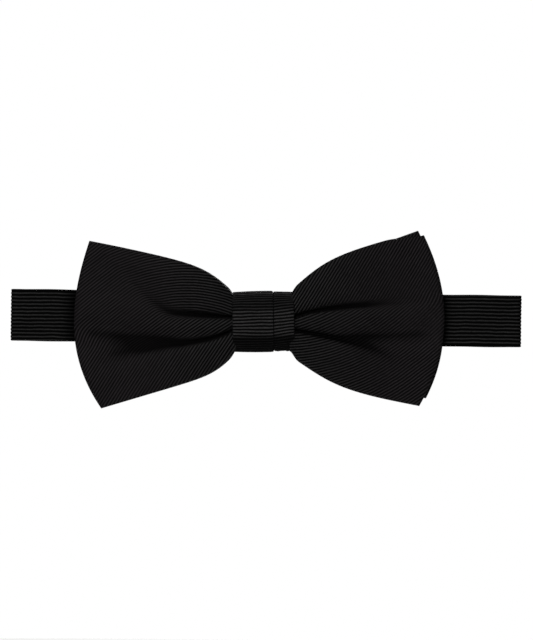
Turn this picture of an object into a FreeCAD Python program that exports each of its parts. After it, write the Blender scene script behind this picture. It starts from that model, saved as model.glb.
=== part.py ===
"""Pre-tied double bow tie on a banded neck strap, upright as worn, with the strap folded flat behind it.

Millimetres. +X is the wearer's left along the strap, the front of the bow faces -Y and +Z is up.
The origin is the middle of the strap's front run, on the face that lies against the collar.
"""

import FreeCAD, Part
import math
import os
import re

import Sketcher
from FreeCAD import Placement, Rotation, Vector

SIZES = {
    # neck strap
    "strapwidth": 16.9,
    "strapthick": 1.0,
    "foldgap": 1.4,
    "reachleft": 82.6,
    "reachright": 84.3,
    "neckreach": 12,
    "taperreach": 30,
    "necktop": 6.9,
    "canvasthick": 0.3,
    "canvasinset": 2.2,
    "canvasroom": 0.1,
    "bandcanvas": 11.8,
    # hook, eye and adjuster
    "wire": 0.8,
    "turnradius": 0.6,
    "hookaxis": 12,
    "hookdepth": 6,
    "rail": 1.3,
    "railgap": 0.3,
    "tonguewidth": 5.2,
    "tonguereach": 33.6,
    "tonguelift": 1.5,
    "tipdrop": 2.05,
    "tonguestart": 0.6,
    "tonguestep": 2,
    "bendshift": 0.1,
    "eyeaxis": 38,
    "eyedepth": 8.6,
    "tablength": 10,
    "adjusterplace": 48,
    "adjusterlength": 10,
    "adjusterbar": 1.5,
    # label and stitches
    "labelplace": 74,
    "labellength": 22,
    "labelheight": 12,
    "labelthick": 0.3,
    "stitchlength": 1.6,
    "stitchwidth": 0.45,
    "stitchproud": 0.15,
    "tackstep": 3.1,
    "tackgap": 2.2,
    "tackedge": 1,
    "endstep": 2.7,
    "labelstep": 2.3,
    "labeledge": 0.6,
    # bow
    "wingleft": 56.3,
    "wingright": 52.7,
    "wingheight": 27.2,
    "cornerslant": 2.6,
    "shoulderplace": 11,
    "shoulderheight": 10.6,
    "waistplace": 10.3,
    "waistheight": 5.2,
    "edgeradius": 100,
    "sideradius": 55,
    "backleft": 50,
    "backleftheight": 23.5,
    "profilereach": 66,
    "crownplace": 20,
    # each layer's depths towards the front: its back and front face at the waist, crown and far edge
    "backlayerback": 1.7,
    "backlayerfront": 5.1,
    "backlayeredge": 4.0,
    "frontlayerback": 5.3,
    "frontlayertip": 4.3,
    "frontlayerfront": 8.8,
    "frontlayercrown": 10.2,
    "frontlayeredge": 7.1,
    "canvasreach": 46,
    "canvasheight": 18,
    "canvasroot": 14,
    "canvasrootheight": 7.2,
    "canvaswaist": 4.1,
    # knot
    "knotwidth": 20.2,
    "knotheight": 19.35,
    "knotfront": 12,
    "knotback": 1.2,
    "knotwall": 1,
    "knotsquare": 6,
    "knotcorner": 1.5,
    "padback": 9.25,
    "padfront": 10.85,
    "padheight": 10.4,
    "padlength": 18,
    "threadsize": 0.25,
    "threadwidth": 1.2,
    "threadroom": 0.1,
    "threadfront": 8.9,
    "threadback": 1.6,
    "seamstep": 3.1,
    "seamplace": 1,
    # how the bow sits on the strap, in degrees and millimetres
    "bowtilt": 1.66,
    "backbowtilt": 4.16,
    "knotdrop": 1.1,
}
STITCH_ROWS = 5
MIDDLE_STITCH = 2
SEAM_STITCHES = 6

doc = FreeCAD.newDocument("bow_tie")
nodes = []


def make_sheet():
    sheet = doc.addObject("Spreadsheet::Sheet", "Sizes")
    for row, (name, value) in enumerate(SIZES.items(), start=1):
        sheet.set(f"A{row}", name)
        sheet.set(f"B{row}", str(value))
        sheet.setAlias(f"B{row}", name)
    doc.recompute()


def named(words):
    """Puts the sheet's name before each of its aliases in an expression."""
    return re.sub("[a-z]+", lambda word: "Sizes." + word[0] if word[0] in SIZES else word[0], words)


def bind(obj, properties):
    for name, words in properties.items():
        obj.setExpression(name, named(words))


def value(obj, words):
    found = obj.evalExpression(named(words))
    return float(getattr(found, "Value", found))


def node(obj, label):
    """Marks an object as one of the tie's physical pieces."""
    obj.Label = label
    nodes.append(obj)
    return obj


# ---- helpers for solids ----


def box(name, corner, size):
    """A box from its lowest corner and its sizes, all of them expressions."""
    made = doc.addObject("Part::Box", name)
    bind(made, dict(zip(("Placement.Base.x", "Placement.Base.y", "Placement.Base.z"), corner)))
    bind(made, dict(zip(("Length", "Width", "Height"), size)))
    return made


def boolean(kind, name, base, tool):
    made = doc.addObject("Part::" + kind, name)
    made.Base = base
    made.Tool = tool
    return made


def joined(name, shapes):
    made = doc.addObject("Part::MultiFuse", name)
    made.Shapes = shapes
    made.Refine = True
    return made


def turn(name, centre, low, height, inner, outer, quarter):
    """Half a tube about an upright axis: strap turned back on itself. quarter is where its half begins."""
    halves = []
    for which, radius in (("Outer", outer), ("Inner", inner)):
        half = doc.addObject("Part::Cylinder", name + which)
        half.Placement.Rotation = Rotation(Vector(0, 0, 1), quarter)
        bind(half, {"Radius": radius, "Height": height, "Angle": "180"})
        bind(half, dict(zip(("Placement.Base.x", "Placement.Base.y", "Placement.Base.z"), centre + (low,))))
        halves.append(half)
    return boolean("Cut", name, *halves)


def body_sketch(body, name, plane, offset="0"):
    """A sketch on one of the body's own planes, offset along that plane's normal."""
    sketch = body.newObject("Sketcher::SketchObject", name)
    origin = next(f for f in body.Origin.OriginFeatures if f.Role == plane)
    sketch.AttachmentSupport = (origin, [""])
    sketch.MapMode = "FlatFace"
    bind(sketch, {"AttachmentOffset.Base.z": offset})
    return sketch


def draw(sketch, corners, arcs=None):
    """A closed wire through corners, anticlockwise. arcs gives the radius of each edge that bulges outward."""
    arcs = arcs or {}
    first = sketch.GeometryCount
    points = [Vector(value(sketch, a), value(sketch, b), 0) for a, b in corners]
    for number, start in enumerate(points):
        stop = points[(number + 1) % len(points)]
        if number in arcs:
            radius = value(sketch, arcs[number])
            half = (stop - start) * 0.5
            rise = radius - math.sqrt(max(radius**2 - half.Length**2, 0))
            outward = Vector(half.y, -half.x, 0).normalize() * rise
            sketch.addGeometry(Part.Arc(start, start + half + outward, stop))
            bound(sketch, Sketcher.Constraint("Radius", first + number, radius), arcs[number])
        else:
            sketch.addGeometry(Part.LineSegment(start, stop))
    for number, (across, up) in enumerate(corners):
        edge, after = first + number, first + (number + 1) % len(points)
        sketch.addConstraint(Sketcher.Constraint("Coincident", edge, 2, after, 1))
        place(sketch, "DistanceX", edge, points[number].x, across, -2)
        place(sketch, "DistanceY", edge, points[number].y, up, -1)


def place(sketch, kind, edge, distance, words, axis):
    if abs(distance) < 1e-9:
        sketch.addConstraint(Sketcher.Constraint("PointOnObject", edge, 1, axis))
    else:
        bound(sketch, Sketcher.Constraint(kind, -1, 1, edge, 1, distance), words)


def bound(sketch, constraint, words):
    number = sketch.addConstraint(constraint)
    sketch.setExpression(f"Constraints[{number}]", named(words))


def pad(body, sketch, length, middle=False):
    made = body.newObject("PartDesign::Pad", sketch.Name + "Pad")
    made.Profile = sketch
    made.Midplane = middle
    bind(made, {"Length": length})
    body.Tip = made
    doc.recompute()
    return made


def rounded(body, feature, radius):
    """Breaks every edge of a stamped or bent wire piece."""
    made = body.newObject("PartDesign::Fillet", body.Name + "Rounds")
    made.Base = (feature, [f"Edge{n}" for n in range(1, len(feature.Shape.Edges) + 1)])
    bind(made, {"Radius": radius})
    body.Tip = made
    doc.recompute()


def plate(name, corners, arcs, back, thick):
    """A flat piece seen from the front: back is how far its back face lies towards -Y."""
    body = doc.addObject("PartDesign::Body", name)
    sketch = body_sketch(body, name + "Outline", "XZ_Plane", back)
    draw(sketch, corners, arcs)
    pad(body, sketch, thick)
    return body


def frame_plate(name, outer, inner, back):
    """A rectangular ring of wire seen from the front: outer and inner are (left, bottom, right, top)."""
    body = doc.addObject("PartDesign::Body", name)
    sketch = body_sketch(body, name + "Outline", "XZ_Plane", back)
    for left, low, right, high in (outer, inner):
        draw(sketch, [(left, low), (right, low), (right, high), (left, high)])
    return body, pad(body, sketch, "wire")


def stitches(name, starts, size):
    """A row of separate stitches in one node."""
    rows = [box(f"{name}{n}", start, size) for n, start in enumerate(starts)]
    group = doc.addObject("Part::Compound", name)
    group.Links = rows
    return group


def tilted(obj, degrees):
    """Turns a bow piece about the knot, right side up, and drops it to the knot's height."""
    obj.Placement = Placement(Vector(0, 0, 0), Rotation(Vector(0, -1, 0), value(obj, degrees)))
    bind(obj, {"Placement.Base.z": "-knotdrop", "Placement.Rotation.Angle": degrees})


# ---- neck strap ----

HALF_STRAP = "strapwidth / 2"
BACK_FACE = "foldgap + strapthick"
LEFT_FOLD = "-reachleft + strapthick + foldgap / 2"
RIGHT_FOLD = "reachright - strapthick - foldgap / 2"
TURN_OUTER = "turnradius + strapthick"
TURN_CENTRE = "foldgap + strapthick + turnradius"
RETURN_FACE = "foldgap + strapthick + 2 * turnradius"
NECK_HEIGHT = "strapwidth / 2 + necktop"


def canvas(name, low, high, front, bottom, height):
    """The stiffening canvas in one run of the strap, and the room that the run leaves for it."""
    across = ("canvasthick", height)
    piece = box(name, (low, front, bottom), (f"{high} - ({low})",) + across)
    room = box(
        name + "Room",
        (f"{low} - canvasroom", f"{front} - canvasroom", f"{bottom} - canvasroom"),
        (f"{high} - ({low}) + 2 * canvasroom", "canvasthick + 2 * canvasroom", f"{height} + 2 * canvasroom"),
    )
    return piece, room


def make_front_run():
    """Straight from fold to fold, with its top edge drawn in where it goes through the knot."""
    low, top = "-(strapwidth / 2)", HALF_STRAP
    corners = [
        (LEFT_FOLD, low),
        (RIGHT_FOLD, low),
        (RIGHT_FOLD, top),
        ("taperreach", top),
        ("neckreach", "necktop"),
        ("-neckreach", "necktop"),
        ("-taperreach", top),
        (LEFT_FOLD, top),
    ]
    strap = plate("FrontRunStrap", corners, None, "0", "strapthick")
    middle = "-(strapthick + canvasthick) / 2"
    piece, room = canvas(
        "FrontCanvas",
        f"{LEFT_FOLD} + canvasinset",
        f"{RIGHT_FOLD} - canvasinset",
        middle,
        "-bandcanvas / 2",
        "bandcanvas",
    )
    node(boolean("Cut", "FrontRun", strap, room), "band_front_run")
    node(piece, "band_front_interlining")


def make_folds():
    for name, centre, quarter, label in (
        ("LeftFold", LEFT_FOLD, 90, "band_left_fold"),
        ("RightFold", RIGHT_FOLD, -90, "band_right_fold"),
    ):
        ring = turn(
            name,
            (centre, "foldgap / 2"),
            "-(strapwidth / 2)",
            "strapwidth",
            "foldgap / 2",
            "foldgap / 2 + strapthick",
            quarter,
        )
        node(ring, label)


def make_left_half():
    """From the left fold to the eye: one layer, a turn round the eye's bar, and a short tab sewn down."""
    low = "-(strapwidth / 2)"
    run = box(
        "LeftRun",
        (LEFT_FOLD, "foldgap", low),
        (f"-eyeaxis - ({LEFT_FOLD})", "strapthick", "strapwidth"),
    )
    bend = turn(
        "LeftTurn", ("-eyeaxis", TURN_CENTRE), low, "strapwidth", "turnradius", TURN_OUTER, -90
    )
    tab = box(
        "LeftTab",
        ("-eyeaxis - tablength", RETURN_FACE, low),
        ("tablength", "strapthick", "strapwidth"),
    )
    piece, room = canvas(
        "LeftCanvas",
        f"{LEFT_FOLD} + canvasinset",
        "-eyeaxis - canvasinset",
        "foldgap + (strapthick - canvasthick) / 2",
        "-bandcanvas / 2",
        "bandcanvas",
    )
    strap = joined("LeftStrap", [run, bend, tab])
    node(boolean("Cut", "LeftHalf", strap, room), "band_left_half")
    node(piece, "band_left_interlining")
    tack = stitches(
        "EyeTack",
        [
            (
                f"-eyeaxis - tablength + tackedge + {column} * tackgap",
                f"{RETURN_FACE} + strapthick",
                f"{row - MIDDLE_STITCH} * tackstep - stitchlength / 2",
            )
            for row in range(STITCH_ROWS)
            for column in range(2)
        ],
        ("stitchwidth", "stitchproud", "stitchlength"),
    )
    node(tack, "eye_loop_tack")


def make_right_half():
    """From the right fold to the hook: it narrows like the front run where it passes behind the knot."""
    low = "-(strapwidth / 2)"
    corners = [
        ("-hookaxis", low),
        (RIGHT_FOLD, low),
        (RIGHT_FOLD, HALF_STRAP),
        ("taperreach", HALF_STRAP),
        ("neckreach", "necktop"),
        ("-hookaxis", "necktop"),
    ]
    run = plate("RightRun", corners, None, f"-({BACK_FACE})", "strapthick")
    bend = turn(
        "RightTurn", ("-hookaxis", TURN_CENTRE), low, NECK_HEIGHT, "turnradius", TURN_OUTER, 90
    )
    piece, room = canvas(
        "RightCanvas",
        "-hookaxis + canvasinset",
        f"{RIGHT_FOLD} - canvasinset",
        "foldgap + (strapthick - canvasthick) / 2",
        "-bandcanvas / 2",
        "bandcanvas",
    )
    strap = joined("RightStrap", [run, bend])
    node(boolean("Cut", "RightHalf", strap, room), "band_right_half")
    node(piece, "band_right_interlining")
    doubled = box(
        "ReturnLayer",
        ("-hookaxis", RETURN_FACE, low),
        ("adjusterplace - adjusterlength / 2 + hookaxis", "strapthick", NECK_HEIGHT),
    )
    node(doubled, "band_return_layer")


# ---- fastening ----


def make_eye():
    """A flat wire ring: its outer bar lies in the left half's turn, and the hook's tongue goes over the other."""
    high = "strapwidth / 2 + railgap"
    outer_high = f"{high} + rail"
    left, right = "-eyeaxis - wire / 2", "-eyeaxis - wire / 2 + eyedepth"
    body, ring = frame_plate(
        "Eye",
        (left, f"-({outer_high})", right, outer_high),
        ("-eyeaxis + wire / 2", f"-({high})", f"{right} - rail", high),
        f"-({TURN_CENTRE} + wire / 2)",
    )
    rounded(body, ring, "wire * 0.3")
    node(body, "eye")


def make_hook():
    """A wire loop that the strap turns round, and a tongue that steps up, runs over the eye and drops behind it."""
    low = "-(strapwidth / 2 + railgap)"
    high = "necktop + railgap"
    far = "-hookaxis - hookdepth"
    body, ring = frame_plate(
        "Hook",
        (far, f"{low} - rail", "-hookaxis + wire / 2", f"{high} + rail"),
        (f"{far} + rail", low, "-hookaxis - wire / 2", high),
        f"-({TURN_CENTRE} + wire / 2)",
    )
    front, back = f"{TURN_CENTRE} - wire / 2", f"{TURN_CENTRE} + wire / 2"
    tip, step = "-tonguereach", f"{far} - tonguestep"
    profile = [
        (f"{far} + rail / 2", front),
        (f"{far} + rail / 2", back),
        (f"{far} - tonguestart + bendshift", back),
        (step, f"{back} + tonguelift"),
        (tip, f"{back} + tonguelift"),
        (tip, f"{back} + tonguelift - wire - tipdrop"),
        (f"{tip} + wire", f"{back} + tonguelift - wire - tipdrop"),
        (f"{tip} + wire", f"{front} + tonguelift"),
        (f"{step} - 2 * bendshift", f"{front} + tonguelift"),
        (f"{far} - tonguestart - bendshift", front),
    ]
    sketch = body_sketch(body, "Tongue", "XY_Plane", "(necktop - strapwidth / 2) / 2")
    draw(sketch, profile)
    tongue = pad(body, sketch, "tonguewidth", middle=True)
    rounded(body, tongue, "wire * 0.2")
    node(body, "hook")


def make_adjuster():
    """A stepped three-bar slide: outer bars in front of the strap, middle bar behind it."""
    bar_back = f"{RETURN_FACE} + strapthick + turnradius + wire / 2"
    front, step = "(foldgap - wire) / 2", "(foldgap + wire) / 2"
    inner_high = "strapwidth / 2 + railgap"
    half, bar = "adjusterlength / 2", "adjusterbar / 2"
    body = doc.addObject("PartDesign::Body", "AdjusterFrame")

    def across(text):
        return f"adjusterplace + {text}"

    def bar_pad(name, low, high, near, far):
        sketch = body_sketch(body, name, "XY_Plane")
        draw(sketch, [(low, near), (high, near), (high, far), (low, far)])
        pad(body, sketch, f"2 * ({inner_high} + rail)", middle=True)

    bar_pad("MiddleBar", across("(-wire / 2)"), across("wire / 2"), f"{bar_back} - wire", bar_back)
    cheek = [
        (across(f"(-{half})"), front),
        (across(half), front),
        (across(half), step),
        (across(bar), bar_back),
        (across(f"(-{bar})"), bar_back),
        (across(f"(-{half})"), step),
    ]
    for name, start in (("TopCheek", inner_high), ("BottomCheek", f"-({inner_high} + rail)")):
        sketch = body_sketch(body, name, "XY_Plane", start)
        draw(sketch, cheek)
        pad(body, sketch, "rail")
    bar_pad("NearBar", across(f"(-{half})"), across(f"(-{half} + adjusterbar)"), front, step)
    bar_pad("FarBar", across(f"({half} - adjusterbar)"), across(half), front, step)
    node(body, "adjuster_frame")


def make_adjuster_end():
    """The strap's end: it comes in on the return layer, turns round the middle bar and is sewn to itself."""
    low = "-(strapwidth / 2)"
    start = "adjusterplace - adjusterlength / 2"
    upper = f"{RETURN_FACE} + strapthick + 2 * turnradius"
    bend = turn(
        "EndTurn",
        ("adjusterplace", f"{RETURN_FACE} + strapthick + turnradius"),
        low,
        NECK_HEIGHT,
        "turnradius",
        TURN_OUTER,
        -90,
    )
    legs = [
        box(name, (start, face, low), ("adjusterlength / 2", "strapthick", NECK_HEIGHT))
        for name, face in (("EndLower", RETURN_FACE), ("EndUpper", upper))
    ]
    node(joined("EndLoop", [bend] + legs), "adjuster_end_loop")
    tack = stitches(
        "EndTack",
        [
            (
                f"{start} + tackedge",
                f"{upper} + strapthick",
                f"{row - MIDDLE_STITCH} * endstep + (necktop - strapwidth / 2) / 2 - stitchlength / 2",
            )
            for row in range(STITCH_ROWS)
        ],
        ("stitchwidth", "stitchproud", "stitchlength"),
    )
    node(tack, "adjuster_end_tack")


def make_label():
    """A blank woven label on the left half, sewn down along its two short ends."""
    face = BACK_FACE
    label = box(
        "Label", ("-labelplace", face, "-labelheight / 2"), ("labellength", "labelthick", "labelheight")
    )
    node(label, "size_label")
    sewn = stitches(
        "LabelStitch",
        [
            (
                f"-labelplace + {place}",
                f"{face} + labelthick",
                f"{row - MIDDLE_STITCH} * labelstep - stitchlength / 2",
            )
            for place in ("labeledge", "labellength - labeledge - stitchwidth")
            for row in range(STITCH_ROWS)
        ],
        ("stitchwidth", "stitchproud", "stitchlength"),
    )
    node(sewn, "label_stitches")


# ---- bow ----


def wing_outline(left, left_height):
    """Both wings of one layer: they flare from the waist inside the knot to pointed corners."""
    right, high = "wingright", "wingheight"
    return [
        ("waistplace", "-waistheight"),
        ("shoulderplace", "-shoulderheight"),
        (f"{right} - cornerslant", f"-{high}"),
        (right, high),
        ("shoulderplace", "shoulderheight"),
        ("waistplace", "waistheight"),
        ("-waistplace", "waistheight"),
        ("-shoulderplace", "shoulderheight"),
        (f"-{left}", left_height),
        (f"-({left} - cornerslant)", f"-{left_height}"),
        ("-shoulderplace", "-shoulderheight"),
        ("-waistplace", "-waistheight"),
    ]


WING_ARCS = {1: "edgeradius", 2: "sideradius", 3: "edgeradius", 7: "edgeradius", 8: "sideradius", 9: "edgeradius"}


def canvas_outline(room):
    """The canvas in a layer of the bow: straight cut, drawn in at the waist. room widens it all round."""
    quarter = [
        (f"waistplace - 1 - {room}", f"canvaswaist + {room}"),
        (f"canvasroot - {room}", f"canvasrootheight + {room}"),
        (f"canvasreach + {room}", f"canvasheight + {room}"),
    ]
    lower_right = [(across, f"-({up})") for across, up in quarter]
    upper_right = list(reversed(quarter))
    upper_left = [(f"-({across})", up) for across, up in quarter]
    lower_left = [(f"-({across})", f"-({up})") for across, up in reversed(quarter)]
    return lower_right + upper_right + upper_left + lower_left


def bow_layer(name, label, left, left_height, depths, tilt):
    """One layer: its outline from the front, cut to its depth seen from above, hollow round its canvas."""
    back_waist, back_edge, front_waist, front_crown, front_edge = depths
    outline = plate(name + "Outline", wing_outline(left, left_height), WING_ARCS, "0", "knotfront")
    body = doc.addObject("PartDesign::Body", name + "Depth")
    sketch = body_sketch(body, name + "Profile", "XY_Plane")
    front = [
        ("waistplace", front_waist),
        ("shoulderplace", front_crown),
        ("crownplace", front_crown),
        ("profilereach", front_edge),
    ]
    back = [("profilereach", back_edge), ("waistplace", back_waist)]
    left_front = [(f"-{across}", deep) for across, deep in reversed(front)]
    left_back = [(f"-{across}", deep) for across, deep in reversed(back)]
    draw(sketch, [(across, f"-{deep}") for across, deep in left_front + front + back + left_back])
    pad(body, sketch, "3 * wingheight", middle=True)
    solid = boolean("Common", name + "Solid", outline, body)
    middle = f"({front_edge} + {back_waist}) / 2"
    piece = plate(name + "Canvas", canvas_outline("0"), None, f"{middle} - canvasthick / 2", "canvasthick")
    room = plate(
        name + "Room",
        canvas_outline("canvasroom"),
        None,
        f"{middle} - canvasthick / 2 - canvasroom",
        "canvasthick + 2 * canvasroom",
    )
    layer = node(boolean("Cut", name, solid, room), label)
    node(piece, label + "_interlining")
    tilted(layer, tilt)
    tilted(piece, tilt)


def make_bow():
    depths = ("backlayerback", "backlayerback", "backlayerfront", "backlayerfront", "backlayeredge")
    bow_layer("BackBow", "back_bow", "backleft", "backleftheight", depths, "backbowtilt")
    depths = ("frontlayerback", "frontlayertip", "frontlayerfront", "frontlayercrown", "frontlayeredge")
    bow_layer("FrontBow", "front_bow", "wingleft", "wingheight", depths, "bowtilt")


# ---- knot ----


def make_gathering_thread():
    """Thread wound round both layers' waists."""
    inner = "waistheight + threadroom"
    outer = f"{inner} + threadsize"
    rings = [
        box(
            "Thread" + name,
            ("-threadwidth / 2", f"-threadfront - {grown}", f"-({half})"),
            ("threadwidth", f"threadfront - threadback + 2 * {grown}", f"2 * ({half})"),
        )
        for name, half, grown in (("Outer", outer, "threadsize"), ("Inner", inner, "0"))
    ]
    ring = node(boolean("Cut", "Thread", *rings), "gathering_thread")
    tilted(ring, "bowtilt")


def wrap_outline(wall):
    """The wrap seen from the side, moved in by wall: flat at the back, a rounded face at the front."""
    high = f"(knotheight / 2 - {wall})"
    back = f"(knotback - {wall})"
    corner = f"(knotcorner - {wall} * 0.5)"
    rise = f"(knotfront - {wall} - knotsquare)"
    corners = [
        ("-knotsquare", f"-{high}"),
        (f"{back} - {corner}", f"-{high}"),
        (back, f"-{high} + {corner}"),
        (back, f"{high} - {corner}"),
        (f"{back} - {corner}", high),
        ("-knotsquare", high),
    ]
    face = f"({high} ^ 2 + {rise} ^ 2) / (2 * {rise})"
    return corners, {1: corner, 3: corner, 5: face}


def make_knot():
    body = doc.addObject("PartDesign::Body", "KnotWrap")
    sketch = body_sketch(body, "WrapOutline", "YZ_Plane")
    for wall in ("0", "knotwall"):
        draw(sketch, *wrap_outline(wall))
    pad(body, sketch, "knotwidth", middle=True)
    tilted(node(body, "knot_wrap"), "bowtilt")
    body = doc.addObject("PartDesign::Body", "KnotPad")
    sketch = body_sketch(body, "PadOutline", "YZ_Plane")
    rise, half = "(padfront - padback)", "(padheight / 2)"
    corners = [("-padback", f"-{half}"), ("-padback", half)]
    draw(sketch, corners, {1: f"({half} ^ 2 + {rise} ^ 2) / (2 * {rise})"})
    pad(body, sketch, "padlength", middle=True)
    tilted(node(body, "knot_pad"), "bowtilt")
    seam = stitches(
        "SeamStitch",
        [
            (
                f"({place} - {(SEAM_STITCHES - 1) / 2}) * seamstep - stitchlength / 2",
                "-seamplace",
                "-knotheight / 2 - stitchproud",
            )
            for place in range(SEAM_STITCHES)
        ],
        ("stitchlength", "stitchwidth", "stitchproud"),
    )
    tilted(node(seam, "knot_seam_stitches"), "bowtilt")


def check_and_export():
    doc.recompute()
    for obj in doc.Objects:
        if "Invalid" in obj.State or "Error" in obj.State:
            raise RuntimeError(f"{obj.Name} failed: {obj.State}")
    for obj in nodes:
        if obj.Shape.isNull() or not obj.Shape.isValid() or not obj.Shape.Solids:
            raise RuntimeError(f"{obj.Label} has no valid solid")
    os.makedirs("parts", exist_ok=True)
    for obj in nodes:
        obj.Shape.exportStep(os.path.join("parts", obj.Label + ".step"))
        print(f"{obj.Label}: {len(obj.Shape.Solids)} solid(s), {obj.Shape.Volume:.1f} mm3")


make_sheet()
make_front_run()
make_folds()
make_left_half()
make_right_half()
make_eye()
make_hook()
make_adjuster()
make_adjuster_end()
make_label()
make_bow()
make_gathering_thread()
make_knot()
check_and_export()
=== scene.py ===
"""Looks of the pre-tied bow tie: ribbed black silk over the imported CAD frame.

The pieces are worked out in millimetres and put in the frame in metres. The front of the bow faces -Y.
"""

import math

import bpy
import numpy as np
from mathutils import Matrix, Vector


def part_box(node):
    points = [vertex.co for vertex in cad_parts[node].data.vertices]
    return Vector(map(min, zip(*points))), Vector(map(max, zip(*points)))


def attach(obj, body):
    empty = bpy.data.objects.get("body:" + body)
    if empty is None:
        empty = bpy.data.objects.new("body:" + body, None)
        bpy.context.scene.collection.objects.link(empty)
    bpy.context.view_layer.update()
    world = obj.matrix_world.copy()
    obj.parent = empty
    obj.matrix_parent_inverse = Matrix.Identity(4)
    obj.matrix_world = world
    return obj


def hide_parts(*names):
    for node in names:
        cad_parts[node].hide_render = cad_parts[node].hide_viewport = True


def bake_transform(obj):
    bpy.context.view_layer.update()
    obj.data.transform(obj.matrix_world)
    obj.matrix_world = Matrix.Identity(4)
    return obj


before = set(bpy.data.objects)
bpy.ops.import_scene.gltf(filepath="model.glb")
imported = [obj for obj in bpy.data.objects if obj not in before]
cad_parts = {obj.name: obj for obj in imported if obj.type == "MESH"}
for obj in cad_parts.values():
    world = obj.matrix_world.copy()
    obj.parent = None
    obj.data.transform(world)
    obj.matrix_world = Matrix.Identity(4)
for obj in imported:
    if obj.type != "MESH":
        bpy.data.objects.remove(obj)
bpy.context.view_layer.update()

MM = 0.001
ROOT = "bow_and_front_run"


def box_mm(node):
    low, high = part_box(node)
    return np.array(low) / MM, np.array(high) / MM


# ---- driving values, in millimetres and degrees ----

WING_RIB = 0.9
KNOT_RIB = 1.05
STRAP_RIB = 1.18
RIB_HEIGHT = 0.26
STRAP_RIB_HEIGHT = 0.6 * RIB_HEIGHT

# painted shade of the silk, which darkens its colour and is also the least roughness: 0 in full light, 1 at
# the bottom of a fold. The first two are the level of open silk on the bow and on the band, and DEEPEST_SHADE
# is how much of the way from the bow's level to 1 the painted shade in the bow's pleats goes
BOW_SHADE_AND_DULL = 0.5
BAND_SHADE_AND_DULL = 0.62
DEEPEST_SHADE = 0.84

# how far out from the middle the painted shadow of the bow reaches on the band, and over what length it fades
BOW_SHADE_LEFT = 67.0, 6.0
BOW_SHADE_RIGHT = 61.5, 4.0

# the tie hangs a little crooked
BOW_TILT = 1.66
BACK_BOW_TILT = 4.16
KNOT_DROP = 1.1

# the knot: half its height, depth at its face and where the face turns, wall, and where its pleat lies
KNOT_HALF = 9.6
KNOT_EDGE = 10.1
KNOT_FRONT = 12.0
KNOT_SQUARE = 6.0
KNOT_CORNER = 1.5
KNOT_WALL = 0.95
KNOT_PLEAT = 3.2
KNOT_LEAN = 7.0

# stitches
STITCH_LENGTH = 1.6
STITCH_THICK = 0.42
STITCH_LIFT = 0.16
SEAM_COUNT = 6
SEAM_STEP = 3.1
SEAM_DEPTH = -0.78

# the strap is drawn in within NECK_REACH of the middle, to pass the knot, and is full height at TAPER_REACH
NECK_REACH = 12.0
TAPER_REACH = 30.0

# where a strap's fold begins and ends, as shares of the fold's gap
FOLD_BEGIN = 0.15
FOLD_END = 0.85

# the strap and its turns, from the frame
STRAP_LOW, STRAP_HIGH = box_mm("band_front_run")
STRAP_HALF = (STRAP_HIGH[2] - STRAP_LOW[2]) / 2
STRAP_THICK = STRAP_HIGH[1] - STRAP_LOW[1]
LEFT_FOLD = STRAP_LOW[0]
RIGHT_FOLD = STRAP_HIGH[0]
FOLD_DEPTH = box_mm("band_right_fold")[1][1]
BACK_RUN = FOLD_DEPTH - STRAP_THICK / 2
FRONT_RUN = -STRAP_THICK / 2
FOLD_GAP = FOLD_DEPTH - STRAP_THICK
NECK_TOP = box_mm("band_return_layer")[1][2]
HOOK_AXIS = box_mm("band_return_layer")[0][0]
RETURN_RUN = sum(side[1] for side in box_mm("band_return_layer")) / 2
TURN_RADIUS = (RETURN_RUN - BACK_RUN) / 2
TURN_OUTER = TURN_RADIUS + STRAP_THICK / 2
TURN_DEPTH = BACK_RUN + TURN_RADIUS
EYE_AXIS = box_mm("band_left_half")[1][0] - TURN_OUTER
TAB = 10.0
END_LOW, END_HIGH = box_mm("adjuster_end_loop")
BAR = END_HIGH[0] - TURN_OUTER, RETURN_RUN + TURN_RADIUS
KNOT_BACK = box_mm("knot_wrap")[1][1]


def smooth(value):
    value = np.clip(value, 0, 1)
    return value * value * (3 - 2 * value)


# ---- meshes ----


def add_object(name, points, faces, cloth, material, tilt=None):
    """A smooth mesh in the frame from millimetre points. cloth holds, for each point, how many ribs across
    and along the silk it lies, and its painted shade."""
    points = np.asarray(points, float).reshape(-1, 3)
    if tilt is not None:
        turn = math.radians(tilt)
        across, up = points[:, 0].copy(), points[:, 2].copy()
        points[:, 0] = across * math.cos(turn) - up * math.sin(turn)
        points[:, 2] = across * math.sin(turn) + up * math.cos(turn) - KNOT_DROP
    mesh = bpy.data.meshes.new(name)
    mesh.from_pydata((points * MM).tolist(), [], [list(face) for face in faces])
    mesh.shade_smooth()
    mesh.validate()
    if cloth is not None:
        layer = mesh.attributes.new("cloth", "FLOAT_VECTOR", "POINT")
        layer.data.foreach_set("vector", np.asarray(cloth, np.float32).ravel())
    mesh.materials.append(material)
    made = bpy.data.objects.new(name, mesh)
    bpy.context.scene.collection.objects.link(made)
    return made


def grid_faces(first, rows, columns, flip=False, around=False):
    """Quads over a grid of points. around joins its last column to its first."""
    row = np.arange(rows - 1)[:, None]
    column = np.arange(columns if around else columns - 1)[None, :]
    after = (column + 1) % columns
    corners = [row * columns + column, (row + 1) * columns + column]
    corners += [(row + 1) * columns + after, row * columns + after]
    quads = np.stack([np.broadcast_to(c, np.broadcast_shapes(row.shape, column.shape)) for c in corners], -1)
    quads = quads.reshape(-1, 4) + first
    return (quads[:, ::-1] if flip else quads).tolist()


def rim_of(first, rows, columns):
    """The numbers of a grid's outermost points, in order round it."""
    index = np.arange(rows * columns).reshape(rows, columns) + first
    return np.concatenate([index[0, :], index[1:, -1], index[-1, -2::-1], index[-2:0:-1, 0]]).tolist()


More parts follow.
